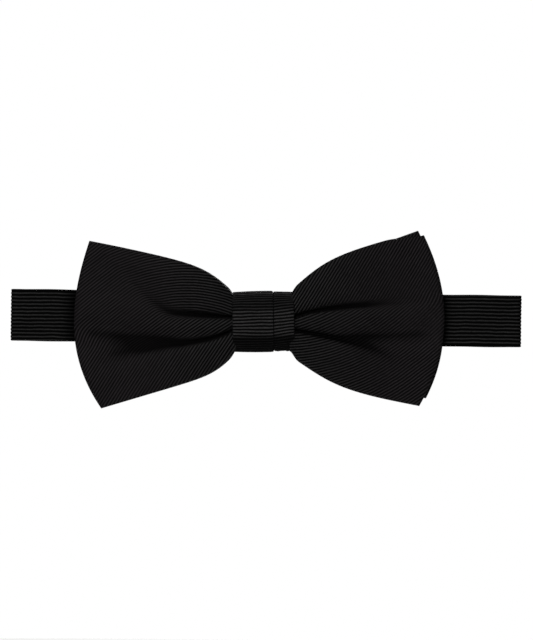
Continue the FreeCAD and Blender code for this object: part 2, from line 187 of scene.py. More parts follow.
def close_sheets(fine, coarse, flip):
    """Faces of a closed piece: a fine sheet, a coarse one behind it with every second point, and the rim that
    joins them."""
    faces = grid_faces(0, *fine.shape[:2], flip=flip)
    start = fine.shape[0] * fine.shape[1]
    faces += grid_faces(start, *coarse.shape[:2], flip=not flip)
    outer = rim_of(0, *fine.shape[:2])
    inner = rim_of(start, *coarse.shape[:2])
    for number, here in enumerate(inner):
        there = inner[(number + 1) % len(inner)]
        a, b, c = (outer[(2 * number + step) % len(outer)] for step in range(3))
        strip = [[a, here, b], [b, here, there], [b, there, c]]
        faces += [tri[::-1] for tri in strip] if flip else strip
    return faces


def normals_of(sheet):
    """Unit normals of a grid of points."""
    down = np.gradient(sheet, axis=0)
    across = np.gradient(sheet, axis=1)
    found = np.cross(down, across)
    return found / np.maximum(np.linalg.norm(found, axis=-1, keepdims=True), 1e-9)


def rib(ribs_across):
    """Height of the ribbed face, 0 between ribs and 1 on top of each."""
    return (0.5 + 0.5 * np.cos(2 * math.pi * ribs_across)) ** 0.75


# ---- materials ----


# the colour sockets of a mix node, which come after the ones for plain numbers
MIX_LOW, MIX_HIGH, MIX_RESULT = 6, 7, 2

# the silk near the knot is crisper and less purple: where that begins and ends to fade, in metres from the
# middle, and the tint
CRISP_REACH = 0.012, 0.042
NEAR_TINT = 1.1, 1.06, 1.07


class Nodes:
    """Short calls for a material's node tree."""

    def __init__(self, name):
        self.material = bpy.data.materials.new(name)
        self.material.use_nodes = True
        self.tree = self.material.node_tree
        self.shader = self.tree.nodes["Principled BSDF"]

    def add(self, kind, settings=None, **inputs):
        made = self.tree.nodes.new(kind)
        for key, given in (settings or {}).items():
            setattr(made, key, given)
        for key, given in inputs.items():
            self.feed(made.inputs[key.replace("_", " ")], given)
        return made

    def feed(self, socket, given):
        if hasattr(given, "is_output"):
            self.tree.links.new(given, socket)
        else:
            socket.default_value = given

    def math(self, operation, first, second=0.0):
        made = self.tree.nodes.new("ShaderNodeMath")
        made.operation = operation
        self.feed(made.inputs[0], first)
        self.feed(made.inputs[1], second)
        return made.outputs[0]

    def product(self, first, *others):
        """Numbers multiplied together."""
        for other in others:
            first = self.math("MULTIPLY", first, other)
        return first

    def wave(self, kind, turns):
        """A sine or cosine wave between 0 and 1."""
        swing = self.math(kind, self.math("MULTIPLY", turns, 2 * math.pi))
        return self.math("ADD", self.math("MULTIPLY", swing, 0.5), 0.5)

    def ramp(self, value, low, high):
        """Two colours, plain or from other nodes, mixed by a value from 0 to 1."""
        made = self.add("ShaderNodeMix", {"data_type": "RGBA"})
        self.feed(made.inputs[0], value)
        for socket, colour in ((MIX_LOW, low), (MIX_HIGH, high)):
            self.feed(made.inputs[socket], colour if hasattr(colour, "is_output") else (*colour, 1))
        return made.outputs[MIX_RESULT]

    def span(self, value, low, high):
        """A value from 0 to 1 spread between low and high."""
        made = self.add("ShaderNodeMapRange", None, Value=value)
        made.inputs["To Min"].default_value = low
        made.inputs["To Max"].default_value = high
        return made.outputs[0]

    def noise(self, vector, scale, detail=3.0, roughness=0.5):
        made = self.add("ShaderNodeTexNoise", None, Scale=scale, Detail=detail, Roughness=roughness)
        self.feed(made.inputs["Vector"], vector)
        return made.outputs[0]

    def bump(self, height, distance, strength=1.0, normal=None):
        made = self.add("ShaderNodeBump", None, Height=height, Distance=distance, Strength=strength)
        if normal is not None:
            self.feed(made.inputs["Normal"], normal)
        return made.outputs[0]

    def stretched(self, vector, scale):
        return self.add("ShaderNodeMapping", None, Vector=vector, Scale=scale).outputs[0]

    def object_place(self):
        return self.tree.nodes.new("ShaderNodeTexCoord").outputs["Object"]

    def finish(self, **constants):
        for key, given in constants.items():
            self.feed(self.shader.inputs[key.replace("_", " ")], given)
        return self.material


def silk(name, light, sharp, worn, gloss):
    """Black faille: round ribs crossed by fine warp threads, with a soft, slightly uneven sheen. The ribs'
    light and shade are painted into the colour, each rib's top lighter and the gap between ribs near black.
    light is the colour of a rib's painted lit top and sharp narrows it, worn is how much the ribs blur
    together in patches, and gloss is how much the silk mirrors."""
    n = Nodes(name)
    cloth = n.add("ShaderNodeAttribute", {"attribute_name": "cloth"}).outputs["Vector"]
    across, along, shade = n.add("ShaderNodeSeparateXYZ", None, Vector=cloth).outputs
    place = n.object_place()

    # ribs that wander a little, crossed by six slanting threads for each rib's width
    wobble = n.product(n.math("SUBTRACT", n.noise(cloth, 0.35, 2), 0.5), 0.35)
    ribs = n.wave("COSINE", n.math("ADD", across, wobble))
    threads = n.wave("SINE", n.product(n.math("ADD", along, n.product(across, 0.09)), 6))

    # uneven cloth: broad patches, slubs along the ribs, and specks
    patches = n.noise(place, 90.0, 3)
    slubs = n.noise(n.stretched(cloth, (4.0, 0.6, 1)), 1.4, 4)
    specks = n.noise(place, 2600.0, 2, 0.7)

    # away from the knot and out of the folds, the ribs blur where the silk is worn
    from_middle = n.math("ABSOLUTE", n.add("ShaderNodeSeparateXYZ", None, Vector=place).outputs["X"])
    far = n.add("ShaderNodeMapRange", None, Value=from_middle)
    far.inputs["From Min"].default_value, far.inputs["From Max"].default_value = CRISP_REACH
    far = far.outputs[0]
    blur = n.math("MAXIMUM", n.product(n.span(n.noise(place, 55.0, 4, 0.6), -0.4, 1.9), worn), 0.0)
    blur = n.product(blur, n.span(shade, 2.0, 0.0), far)
    # painted light and shade: the ribs' tops are painted light and their gaps dark, and the cloth's painted shade     darkens the pleats, rims, the knot's top, foot and pleat, and the band beside the bow
    crisp = n.product(n.math("SUBTRACT", 1.0, blur), n.math("POWER", ribs, sharp))
    lit = n.product(
        n.math("ADD", crisp, n.product(blur, 0.42)),
        n.span(slubs, 0.5, 1.5),
        n.span(specks, 0.55, 1.45),
        n.span(patches, 0.7, 1.3),
        n.span(threads, 0.75, 1.0),
        n.span(shade, 1.0, 0.08),
    )
    near_light = tuple(light[1] * part for part in NEAR_TINT)

    rough = n.math("ADD", n.span(ribs, 0.92, 0.42), n.span(patches, -0.04, 0.06))
    fine = n.bump(threads, 0.00002, 0.5)
    ribbed = n.bump(ribs, 0.00011, 0.55, fine)
    return n.finish(
        Base_Color=n.ramp(lit, (0.00005, 0.00005, 0.00005), n.ramp(far, near_light, light)),
        Roughness=n.math("MAXIMUM", rough, shade),
        Normal=n.bump(n.noise(place, 700.0, 4), 0.00005, 0.35, ribbed),
        Specular_IOR_Level=gloss,
        Sheen_Weight=0.004,
        Sheen_Roughness=0.35,
        Sheen_Tint=(0.93, 0.88, 0.95, 1),
    )


def metal(name, colour, rough_low, rough_high):
    """Plated wire or plate: fine drawing marks, duller where it rubs."""
    n = Nodes(name)
    place = n.object_place()
    marks = n.noise(n.stretched(place, (300, 300, 4000)), 1.0, 4)
    wear = n.noise(place, 260.0, 5, 0.65)
    dark = tuple(0.72 * part for part in colour)
    return n.finish(
        Base_Color=n.ramp(wear, dark, colour),
        Roughness=n.math("ADD", n.span(wear, rough_low, rough_high), n.product(marks, 0.08)),
        Normal=n.bump(marks, 0.00002, 0.35),
        Metallic=1.0,
    )


def woven(name, dark, light, pitch, rough=0.85):
    """Plain weave: over and under threads, uneven in colour."""
    n = Nodes(name)
    place = n.object_place()
    sides = n.add("ShaderNodeSeparateXYZ", None, Vector=place).outputs
    turn = 2 * math.pi / (pitch * MM)
    waves = [n.math("SINE", n.product(side, turn)) for side in (sides["X"], sides["Z"])]
    height = n.math("ADD", n.product(*waves, 0.5), 0.5)
    uneven = n.noise(place, 900.0, 3)
    return n.finish(
        Base_Color=n.ramp(n.product(height, n.span(uneven, 0.6, 1.2)), dark, light),
        Roughness=rough,
        Normal=n.bump(height, 0.00006, 0.6),
        Sheen_Weight=0.05,
    )


def thread(name, dark, light):
    """Twisted sewing thread."""
    n = Nodes(name)
    place = n.object_place()
    twist = n.add("ShaderNodeTexWave", {"bands_direction": "DIAGONAL"}, Scale=900.0, Distortion=1.0)
    n.feed(twist.inputs["Vector"], place)
    return n.finish(
        Base_Color=n.ramp(twist.outputs["Fac"], dark, light),
        Roughness=0.62,
        Normal=n.bump(twist.outputs["Fac"], 0.00004, 0.6),
    )


def label_satin():
    """Ivory woven satin with nothing on it but its own fine floats and a faint border."""
    n = Nodes("label_satin")
    place = n.object_place()
    lines = n.add("ShaderNodeTexWave", {"bands_direction": "Z"}, Scale=1100.0, Distortion=0.6)
    n.feed(lines.inputs["Vector"], place)
    cloudy = n.noise(place, 160.0, 4)
    return n.finish(
        Base_Color=n.ramp(cloudy, (0.3, 0.285, 0.25), (0.42, 0.405, 0.365)),
        Roughness=n.span(lines.outputs["Fac"], 0.42, 0.6),
        Normal=n.bump(lines.outputs["Fac"], 0.00003, 0.5),
        Sheen_Weight=0.1,
    )


SILK = silk("bow_silk", (0.048, 0.0413, 0.0448), 2.4, 0.48, 0.05)
KNOT_SILK = silk("knot_silk", (0.046, 0.0422, 0.044), 1.9, 0.08, 0.05)
BAND_SILK = silk("band_silk", (0.063, 0.062, 0.0618), 3.2, 0.1, 0.02)
CANVAS = woven("canvas", (0.3, 0.27, 0.21), (0.62, 0.57, 0.47), 0.45)
FELT = woven("wadding_felt", (0.05, 0.05, 0.05), (0.14, 0.14, 0.14), 0.3)
BLACK_THREAD = thread("black_thread", (0.004, 0.004, 0.005), (0.02, 0.02, 0.022))
PALE_THREAD = thread("pale_thread", (0.36, 0.35, 0.32), (0.66, 0.65, 0.6))
PLATED = metal("nickel_wire", (0.5, 0.485, 0.455), 0.24, 0.4)
ADJUSTER = metal("nickel_plate", (0.42, 0.405, 0.38), 0.3, 0.48)
LABEL = label_satin()


# ---- the bow ----

# the wings' inner ends, hidden in the knot, where their edges leave it, and how they are pinched there
ROOT_ACROSS = 8.4
EDGE_START = 10.0
PINCH = 2.6
PINCH_WIDE = 1.5
BEND_REACH = 13.0

# pleats: width at the knot, how far out their height settles, and how much of them is a sharp crease
PLEAT_WIDE = 0.8
SETTLE_REACH = 9.0
CREASE_WIDE = 0.32
CREASE_SHARE = 0.45
SOFT_CREASE_SHARE = 0.12
SOFT_FADE = 10.0

# how far past the knot the ribs of neighbouring panels meet
RIBS_MEET = 39.0

# a wing's thickness: its least, half its rim's, and the share of its length over which its end rounds off
THINNEST = 0.5
HALF_RIM = 0.12
TIP_SHARE = 0.035

# how deep a pleat is pressed in where its painted shade begins, and how much deeper it is where that is full;
# the last is how near the rim the painted shade along the rim reaches
SHADE_BEGIN = 0.7
SHADE_RANGE = 2.4
RIM_SHADE = 0.4

# steps along and across a wing's grid
WING_STEPS = 256, 288


class Edge:
    """A wing's long edge: nearly straight from its corner, dropping steeply into the knot. The last stretch
    before the corner can bend down by dip, and the whole edge can bow outwards."""

    def __init__(self, corner, slope, drop, spread, dip=0.0, bow=0.0):
        self.corner, self.slope, self.drop, self.spread = corner, slope, drop, spread
        self.dip, self.bow = dip, bow

    def height(self, across):
        line = self.corner[1] + self.slope * (across - self.corner[0])
        past_knot = np.maximum(across - EDGE_START, 0) / self.spread
        shoulder = self.drop * np.exp(-(past_knot**1.3))
        pinch = PINCH * np.exp(-(((across - ROOT_ACROSS) / PINCH_WIDE) ** 2))
        bent = self.dip * smooth((across - self.corner[0] + BEND_REACH) / BEND_REACH)
        way = (across - EDGE_START) / (self.corner[0] - EDGE_START)
        return line - shoulder - pinch + bent + self.bow * 4 * way * (1 - way)


class Groove:
    """A pleat that runs out from the knot. Its height there settles from start, then turns beyond turn_at.
    One with a begin is only a soft hollow, which starts that far from the knot."""

    def __init__(self, start, slope, settle, depth, reach, wide, turn_at=99.0, turn=0.0, begin=None):
        self.start, self.slope, self.settle = start, slope, settle
        self.depth, self.reach, self.wide = depth, reach, wide
        self.turn_at, self.turn, self.begin = turn_at, turn, begin

    def height(self, out):
        out = np.maximum(out, 0)
        turned = self.turn * np.maximum(out - self.turn_at, 0) ** 1.5
        return self.start + self.slope * out + self.settle * (1 - np.exp(-out / SETTLE_REACH)) + turned

    def width(self, out):
        return PLEAT_WIDE + (self.wide - PLEAT_WIDE) * np.clip(out / self.reach, 0, 1) ** 1.2

    def cut(self, out, up):
        """How far the pleat is pressed in: a narrow crease in a wider hollow, both fading outwards."""
        if self.begin is None:
            fade, share = 1 - np.clip(out / self.reach, 0, 1) ** 1.7, CREASE_SHARE
        else:
            fade = smooth((out - self.begin) / SOFT_FADE) * smooth((self.reach - out) / SOFT_FADE)
            share = SOFT_CREASE_SHARE
        away = (up - self.height(out)) / self.width(out)
        hollow = np.exp(-(np.abs(away) ** 1.5) / 1.5)
        crease = np.exp(-((away / CREASE_WIDE) ** 2) / 2)
        return self.depth * fade * ((1 - share) * hollow + share * crease * fade)


class Ribs:
    """Parallel ribs that bend as arcs, leaning by an angle where they pass a point (across, up) of the wing.
    A positive radius has its centre above the ribs, a negative one below."""

    def __init__(self, point, lean, radius):
        lean = math.radians(lean)
        self.centre = point[0] - radius * math.sin(lean), point[1] + radius * math.cos(lean)

    def count(self, across, up):
        return np.hypot(across - self.centre[0], up - self.centre[1]) / WING_RIB


class Layer:
    """How one layer of the bow lies in depth, measured forwards from the collar: its face at the knot and at
    the wing's end, its middle and its back. Its face or its back, whichever shows more, is the fine side."""

    def __init__(self, knot_front, edge_front, middle, back, fine_front):
        self.knot_front, self.edge_front, self.middle, self.back = knot_front, edge_front, middle, back
        self.fine_front = fine_front


class Wing:
    """One side of one layer of the bow, spread outwards (side is -1 on the left). bulge bows its outer end,
    and skew moves that bow down. cloth is its three panels' ribs, from the top, and grooves its pleats."""

    def __init__(self, side, top, bottom, bulge, skew, cloth, grooves, layer):
        self.side, self.top, self.bottom, self.bulge, self.skew = side, top, bottom, bulge, skew
        self.upper_ribs, self.middle_ribs, self.lower_ribs = cloth
        self.upper, self.lower, self.extra = grooves
        self.layer = layer


def spread(count, dense):
    """Values from -1 to 1 that crowd towards both ends."""
    even = np.linspace(-1, 1, count)
    return (1 - dense) * even + dense * np.sin(even * math.pi / 2)


def wing_grid(wing, along, across_count):
    """Each point's share of the way out from the knot and up from the bottom edge, and its place."""
    out = (spread(2 * along - 1, 0.25)[along - 1:])[:, None]
    share = (spread(across_count, 0.3)[None, :] + 1) / 2
    top_across = ROOT_ACROSS + (wing.top.corner[0] - ROOT_ACROSS) * out
    low_across = ROOT_ACROSS + (wing.bottom.corner[0] - ROOT_ACROSS) * out
    top_up, low_up = wing.top.height(top_across), -wing.bottom.height(low_across)
    swell = wing.bulge * 4 * share * (1 - share) * (1 + wing.skew * (0.5 - share))
    across = low_across + (top_across - low_across) * share + swell * out**1.6
    return out, share, across, low_up + (top_up - low_up) * share


def wing_depths(wing, out, share, across, up, pressed):
    """Depths of the face and the back, and how near each point is to the rim: 0 on it and 1 well inside."""
    layer = wing.layer

    # the section goes from nearly round at the knot to flat with a rounded rim, and the wing's end is rounded
    ends = 2.2 + 12 * smooth(out * 1.25)
    rounding = np.maximum(1 - np.abs(2 * share - 1) ** ends, 0) ** (1 / ends)
    tip = np.sqrt(np.maximum(1 - np.clip((out - (1 - TIP_SHARE)) / TIP_SHARE, 0, 1) ** 2, 0))
    full = rounding * tip

    # the face slopes back from the knot, with a belly half way out and slight waves
    near = 1 - smooth(out / 0.85)
    slope = layer.edge_front + (layer.knot_front - layer.edge_front) * near
    belly = 0.9 * np.exp(-(((out - 0.42) / 0.24) ** 2)) * np.sin(math.pi * share) ** 0.7
    ripple = 0.22 * np.sin(across * 0.21 + up * 0.13 + wing.side) * np.sin(up * 0.17 - across * 0.05 + 1)
    thick = np.maximum((slope + belly - layer.middle) - pressed + ripple * smooth(out * 2), THINNEST)
    front = -(layer.middle + thick * full + HALF_RIM)
    behind = -(layer.middle - (layer.middle - layer.back) * full - HALF_RIM)
    return front, behind, full


def rib_numbers(wing, across, up):
    """Each panel between pleats has its own run of ribs, and they meet where the pleats fade out."""
    from_knot = across - KNOT_EDGE
    plain = wing.middle_ribs.count(across, up)
    ribs = plain
    for panel, pleat, above in ((wing.upper_ribs, wing.upper, 1), (wing.lower_ribs, wing.lower, -1)):
        past = above * (up - pleat.height(from_knot))
        over_pleat = smooth(past / (1.9 * pleat.width(from_knot)) + 0.5)
        meet = (KNOT_EDGE + RIBS_MEET, pleat.height(RIBS_MEET))
        step = wing.middle_ribs.count(*meet) - panel.count(*meet)
        ribs = ribs + over_pleat * (panel.count(across, up) + step - plain)
    return ribs


def wing_sheets(wing, along, across_count):
    """The face and the back on a grid of the wing, the silk's numbers there, and how near the rim is."""
    out, share, across, up = wing_grid(wing, along, across_count)
    pleats = (wing.upper, wing.lower, *wing.extra)
    pressed = sum(pleat.cut(across - KNOT_EDGE, up) for pleat in pleats)
    front, behind, full = wing_depths(wing, out, share, across, up, pressed)
    # painted shade in the pleats and along the rim, which darkens the silk's colour there
    hollow = np.minimum(smooth((pressed - SHADE_BEGIN) / SHADE_RANGE), DEEPEST_SHADE)
    shade = BOW_SHADE_AND_DULL + (1 - BOW_SHADE_AND_DULL) * np.maximum(hollow, 1 - smooth(full / RIM_SHADE))
    cloth = np.stack([rib_numbers(wing, across, up), (across + up) / WING_RIB, shade], -1)
    front, behind = (np.stack([wing.side * across, depth, up], -1) for depth in (front, behind))
    return front, behind, cloth, full


def make_wing(name, wing, node, tilt):
    """A closed, ribbed wing. The side that shows is fine enough to carry its ribs as shape."""
    fine_front = wing.layer.fine_front
    coarse = 1
    front, behind, cloth, full = wing_sheets(wing, *(steps // coarse + 1 for steps in WING_STEPS))
    fine, rough = (front, behind) if fine_front else (behind, front)
    outward = normals_of(fine)
    outward *= np.sign(outward[..., 1:2] * (-1 if fine_front else 1) + 1e-12)
    fine = fine + outward * (RIB_HEIGHT * (rib(cloth[..., 0]) - 0.5) * smooth(full * 1.6))[..., None]
    rough, rough_cloth = rough[::2, ::2], cloth[::2, ::2]
    faces = close_sheets(fine, rough, flip=(wing.side > 0) == fine_front)
    points = np.concatenate([fine.reshape(-1, 3), rough.reshape(-1, 3)])
    cloth = np.concatenate([cloth.reshape(-1, 3), rough_cloth.reshape(-1, 3)])
    made = add_object(name, points, faces, cloth, SILK, tilt)
    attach(made, ROOT)
    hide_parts(node)


def make_bow():
    left_pleats = (
        Groove(1.6, 0.09, 0, 4.3, 37, 4.6, turn_at=19, turn=0.17),
        Groove(-2.6, 0, -4.6, 4.4, 42, 4.2, turn_at=30, turn=0.05),
        [Groove(-8.6, 0.125, 0, 2.0, 54, 3.4, begin=12), Groove(-3.3, -0.17, 0, 1.6, 47, 3.0, begin=18)],
    )
    right_pleats = (
        Groove(1.4, 0.035, 3.0, 4.5, 46, 3.4),
        Groove(-2.9, -0.21, 0, 4.6, 43, 4.6, turn_at=18, turn=-0.06),
        [Groove(-6.0, 0.025, 0, 2.1, 49, 3.2, begin=12)],
    )
    back_pleats = (Groove(2.5, 0.15, 0, 1.2, 30, 4), Groove(-3, -0.2, 0, 1.2, 30, 4), [])
    front = Layer(10.3, 7.0, 5.9, 4.6, fine_front=True)
    behind = Layer(4.9, 3.9, 3.1, 1.75, fine_front=False)
    left_cloth = (Ribs((33, 20), -8, -54), Ribs((40, 0), -36, -250), Ribs((35, -18), -56, -1000))
    right_cloth = (Ribs((30, 18), 58, 1000), Ribs((30, 0), 30, 80), Ribs((32, -22), 22, 62))
    wings = {
        "front_bow_left_wing": Wing(
            -1, Edge((56.3, 27.2), 0.25, 5.2, 6.5, bow=0.5), Edge((53.3, 27.5), 0.28, 4.0, 5.1),
            7.0, 0.4, left_cloth, left_pleats, front,
        ),
        "front_bow_right_wing": Wing(
            1, Edge((52.7, 29.1), 0.26, 6.9, 9.0, dip=-1.8), Edge((50.3, 28.4), 0.2, 7.6, 11.3),
            7.5, 0.1, right_cloth, right_pleats, front,
        ),
        "back_bow_left_wing": Wing(
            -1, Edge((50.0, 23.5), 0.25, 5.7, 6.5), Edge((46.0, 22.0), 0.28, 4.4, 5.1),
            7.0, 0, left_cloth, back_pleats, behind,
        ),
        "back_bow_right_wing": Wing(
            1, Edge((52.1, 26.6), 0.29, 6.0, 9.0), Edge((51.4, 28.2), 0.2, 7.9, 11.3),
            6.9, 0.3, right_cloth, back_pleats, behind,
        ),
    }
    for name, wing in wings.items():
        node, tilt = ("front_bow", BOW_TILT) if wing.layer is front else ("back_bow", BACK_BOW_TILT)
        make_wing(name, wing, node, tilt)


# ---- the knot ----


def arc(centre, radius, start, end, count):
    angles = np.radians(np.linspace(start, end, count))
    return np.stack([centre[0] + radius * np.cos(angles), centre[1] + radius * np.sin(angles)], -1)


def even_loop(points, count):
    """A closed line through points, cut into equal steps: places, outward normals and distances along it."""
    closed = np.vstack([points, points[:1]])
    steps = np.linalg.norm(np.diff(closed, axis=0), axis=1)
    run = np.concatenate([[0], np.cumsum(steps)])
    wanted = np.linspace(0, run[-1], count, endpoint=False)
    places = np.stack([np.interp(wanted, run, closed[:, axis]) for axis in (0, 1)], -1)
    ahead = np.roll(places, -1, 0) - np.roll(places, 1, 0)
    outward = np.stack([ahead[:, 1], -ahead[:, 0]], -1)
    outward /= np.linalg.norm(outward, axis=1, keepdims=True)
    return places, outward, wanted


def knot_outline():
    """The wrap seen from the side: a rounded D, as (depth, up) points."""
    half, corner = KNOT_HALF, KNOT_CORNER
    face_up = np.linspace(half, -half, 60)
    face_depth = (KNOT_FRONT - KNOT_SQUARE) * (np.abs(face_up) / half) ** 3 - KNOT_FRONT
    return np.vstack([
        arc((KNOT_BACK - corner, -half + corner), corner, -90, 0, 12),
        arc((KNOT_BACK - corner, half - corner), corner, 0, 90, 12),
        np.stack([face_depth, face_up], -1),
    ])


def knot_section():
    """Across the wrap, over its face and back inside it: places, heights over the outline, and how much of
    the ribs' height there is."""
    across = np.concatenate([
        np.linspace(-KNOT_EDGE, KNOT_PLEAT - 0.7, 46),
        np.linspace(KNOT_PLEAT - 0.6, KNOT_PLEAT + 0.7, 22),
        np.linspace(KNOT_PLEAT + 0.85, KNOT_EDGE, 26),
    ])
    edge = np.clip((KNOT_EDGE - np.abs(across)) / 0.55, 0, 1)
    round_edge = np.sqrt(np.maximum(1 - (1 - edge) ** 2, 0))
    past_pleat = across - KNOT_PLEAT
    step = np.where(past_pleat < 0, 0.0, 0.22)
    groove = 0.18 * np.exp(-(((past_pleat - 0.1) / 0.16) ** 2)) + 0.1 * np.exp(-((past_pleat / 0.5) ** 2))
    crown = 0.28 * (1 - (across / KNOT_EDGE) ** 2)
    level = crown - step - groove - 0.5 * (1 - round_edge)
    inside = np.linspace(KNOT_EDGE, -KNOT_EDGE, 24)[1:-1]
    return (
        np.concatenate([across, inside]),
        np.concatenate([level, np.full(len(inside), -KNOT_WALL)]),
        np.concatenate([round_edge, np.zeros(len(inside))]),
    )


def knot_shade(up, across):
    """Painted shade where the wrap's face turns away above and below, less of it on the top rim, and painted
    shade in the pleat.
    """
    upper = 0.5 * smooth((up - 2.9) / 1.6) - 0.6 * smooth((up - 8.1) / 0.8)
    lower = 0.75 * smooth((-up - 3.7) / 1.8)
    in_pleat = np.exp(-(((across - KNOT_PLEAT - 0.12) / 0.2) ** 2))
    return np.maximum((0.2 + np.maximum(upper, -0.2) + lower)[:, None], in_pleat[None, :])


def make_knot():
    """The wrap: a ring of silk round the waist with one pleat on its face, past which its ribs slant."""
    rows = 460
    places, outward, run = even_loop(knot_outline(), rows)
    across, level, ribbed = knot_section()
    past_pleat = np.maximum(across - KNOT_PLEAT, 0)
    slant = math.tan(math.radians(KNOT_LEAN)) * past_pleat[None, :]
    wander = 0.12 * np.sin(run * 0.7)[:, None] * np.cos(across * 0.35)[None, :]
    ribs_round = run[-1] / KNOT_RIB
    ribs = (run[:, None] + wander + slant) / KNOT_RIB * round(ribs_round) / ribs_round
    depth = level[None, :] + RIB_HEIGHT * ribbed[None, :] * (rib(ribs) - 0.5)
    count = len(across)
    grid = np.empty((rows, count, 3))
    grid[..., 0] = across[None, :]
    grid[..., 1] = places[:, None, 0] + outward[:, None, 0] * depth
    grid[..., 2] = places[:, None, 1] + outward[:, None, 1] * depth
    last = (rows - 1) * count
    faces = grid_faces(0, rows, count, around=True)
    faces += [[last + i, i, (i + 1) % count, last + (i + 1) % count] for i in range(count)]
    threads = np.broadcast_to(across / KNOT_RIB, ribs.shape)
    # the third number is the painted shade of the knot's top, foot and pleat
    cloth = np.stack([ribs, threads, knot_shade(places[:, 1], across)], -1)
    made = add_object("knot_wrap_silk", grid, faces, cloth, KNOT_SILK, BOW_TILT)
    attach(made, ROOT)
    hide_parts("knot_wrap")


# ---- the neck strap ----


def strap_section():
    """The strap's rim as (outward, up, ribs across): two ribbed faces with round edges between them."""
    half = STRAP_THICK / 2
    flat = STRAP_HALF - half
    up = np.linspace(-flat, flat, 121)
    side = np.stack([half + STRAP_RIB_HEIGHT * (rib(up / STRAP_RIB) - 1), up, up / STRAP_RIB], -1)
    turn = np.radians(np.linspace(-90, 90, 9))[1:-1]
    edge_ribs = (flat + turn * 0.4) / STRAP_RIB
    top = np.stack([-half * np.sin(turn), flat + half * np.cos(turn), edge_ribs], -1)
    return np.vstack([side, top, side[::-1] * (-1, 1, 1), -top])


def make_strap(name, path, low, high):
    """Strap swept along a path of (across, depth) points. low and high give its bottom and top edge on the
    way. Its front face has a painted shadow of the bow next to the bow."""
    path = np.asarray(path, float)
    ahead = np.gradient(path, axis=0)
    ahead /= np.linalg.norm(ahead, axis=1, keepdims=True)
    sideways = np.stack([-ahead[:, 1], ahead[:, 0]], -1)
    run = np.concatenate([[0], np.cumsum(np.linalg.norm(np.diff(path, axis=0), axis=1))])
    section = strap_section()
    count = len(section)
    scale = (high - low) / (2 * STRAP_HALF)
    middle = (high + low) / 2 + 0.07 * np.sin(run * 0.11) + 0.04 * np.sin(run * 0.37 + 1)
    depth = section[None, :, 0] + 0.05 * np.sin(run * 0.23)[:, None] * np.cos(section[None, :, 1] * 0.2)
    grid = np.empty((len(path), count, 3))
    grid[..., 0] = path[:, None, 0] + sideways[:, None, 0] * depth
    grid[..., 1] = path[:, None, 1] + sideways[:, None, 1] * depth
    grid[..., 2] = middle[:, None] + section[None, :, 1] * scale[:, None]
    last = (len(path) - 1) * count
    faces = grid_faces(0, len(path), count, around=True)
    faces += [list(range(count))[::-1], [last + i for i in range(count)]]

    # painted shadow of the bow on the band's front face, beside the bow
    on_left = path[:, 0] < 0
    reach, fade = (np.where(on_left, *sides) for sides in zip(BOW_SHADE_LEFT, BOW_SHADE_RIGHT))
    bow_shadow = smooth((reach - np.abs(path[:, 0])) / fade)[:, None] * (grid[..., 1] < FRONT_RUN)
    shade = BAND_SHADE_AND_DULL + (1 - BAND_SHADE_AND_DULL) * bow_shadow
    ribs = np.broadcast_to(section[:, 2], shade.shape)
    threads = np.broadcast_to(run[:, None] / STRAP_RIB, shade.shape)
    return add_object(name, grid, faces, np.stack([ribs, threads, shade], -1), BAND_SILK)


def straight(start, end, depth, step=1.5):
    """A straight run of a strap's path, in steps of about step."""
    count = max(int(abs(end - start) / step), 2)
    return np.stack([np.linspace(start, end, count + 1), np.full(count + 1, depth)], -1)


def top_edge(across):
    """The strap's top edge: it is drawn in where the strap goes through the knot."""
    out = (np.abs(across) - NECK_REACH) / (TAPER_REACH - NECK_REACH)
    return NECK_TOP + (STRAP_HALF - NECK_TOP) * smooth(out)


def finish_strap(made, path, width, bodies, start, end, nodes):
    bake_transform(made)
    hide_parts(*nodes)


